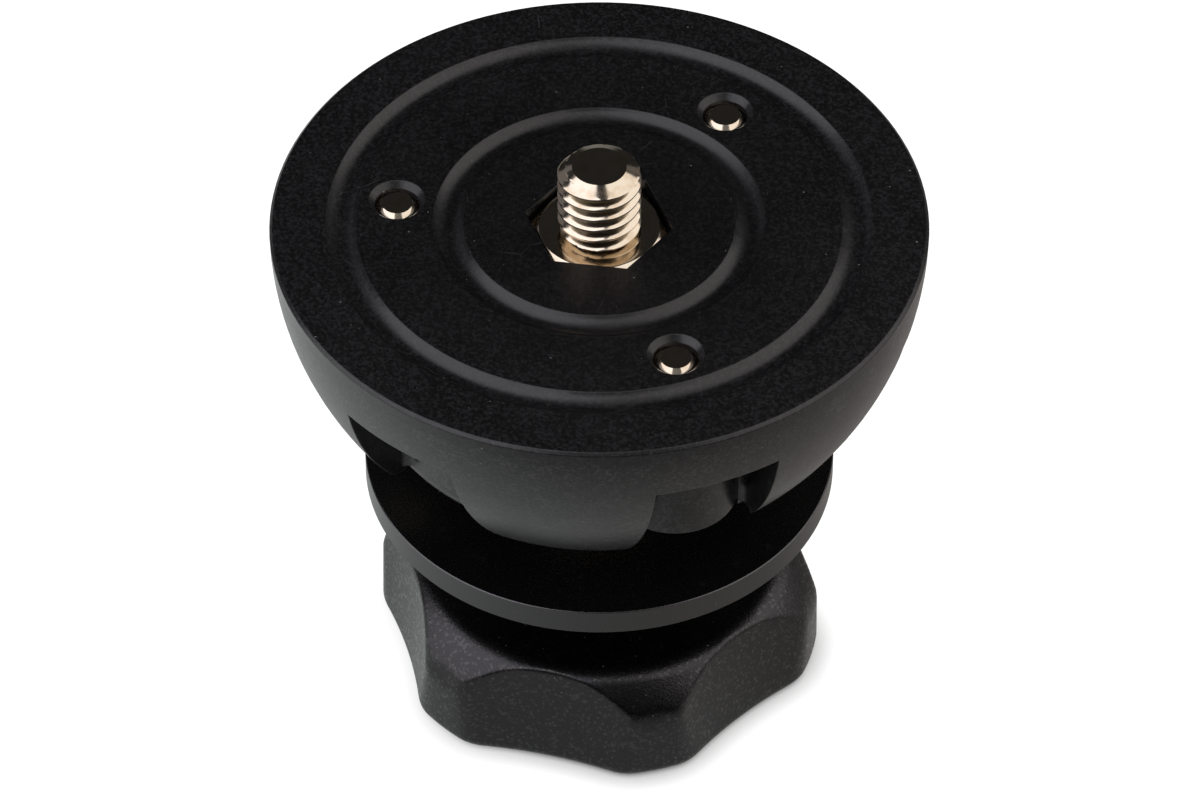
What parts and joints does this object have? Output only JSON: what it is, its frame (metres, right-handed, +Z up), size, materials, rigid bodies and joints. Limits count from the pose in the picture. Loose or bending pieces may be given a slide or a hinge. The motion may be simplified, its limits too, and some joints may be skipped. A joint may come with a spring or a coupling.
{
  "type": "half ball leveling adapter",
  "caption": "Half ball with a threaded head stud on its flat top, side slots and set screws, clamped from below by a disc and a lobed knob on a threaded shank.",
  "frame": {"origin": "centre of the knob's flat underside", "axes": "+Z up along the stud towards the head thread, +X through one of the side slots that has no set screw"},
  "size_m": [0.075, 0.075, 0.074],
  "materials": {
    "black_casting": "cast and turned, fine matte black coat",
    "nickel_steel": "bright nickel plate",
    "plain_steel": "zinc plate",
    "screw_steel": "nickel plate",
    "black_disc": "turned, satin black coat",
    "washer_plastic": "plain",
    "knob_plastic": "fine moulded grain",
    "insert_brass": "turned",
    "cap_plastic": "plain"
  },
  "bodies": {
    "base": {"half_ball": "black_casting", "head_stud": "nickel_steel", "stud_washer": "plain_steel", "stud_nut": "plain_steel"},
    "clamp": {"clamp_disc": "black_disc", "friction_washer": "washer_plastic"},
    "knob": {"knob_grip": "knob_plastic", "knob_insert": "insert_brass", "knob_cap": "cap_plastic"},
    "set_screw_1": {"set_screw_1": "screw_steel"},
    "set_screw_2": {"set_screw_2": "screw_steel"},
    "set_screw_3": {"set_screw_3": "screw_steel"}
  },
  "joints": [
    {"name": "clamp_slide", "type": "slide", "parent": "base", "child": "clamp", "axis": [0, 0, 1], "range_m": [-0.0081, 0.0102]},
    {"name": "knob_turn", "type": "hinge", "parent": "clamp", "child": "knob", "pos_m": [0, 0, 0], "axis": [0, 0, 1], "range_deg": [-1920, 2424]},
    {"name": "set_screw_1_slide", "type": "slide", "parent": "base", "child": "set_screw_1", "axis": [0, 0, 1], "range_m": [-0.003, 0.0025]},
    {"name": "set_screw_2_slide", "type": "slide", "parent": "base", "child": "set_screw_2", "axis": [0, 0, 1], "range_m": [-0.003, 0.0025]},
    {"name": "set_screw_3_slide", "type": "slide", "parent": "base", "child": "set_screw_3", "axis": [0, 0, 1], "range_m": [-0.003, 0.0025]}
  ],
  "couplings": [
    {"joint": "clamp_slide", "follows": "knob_turn", "m_per_rad": 0.00023873}
  ]
}
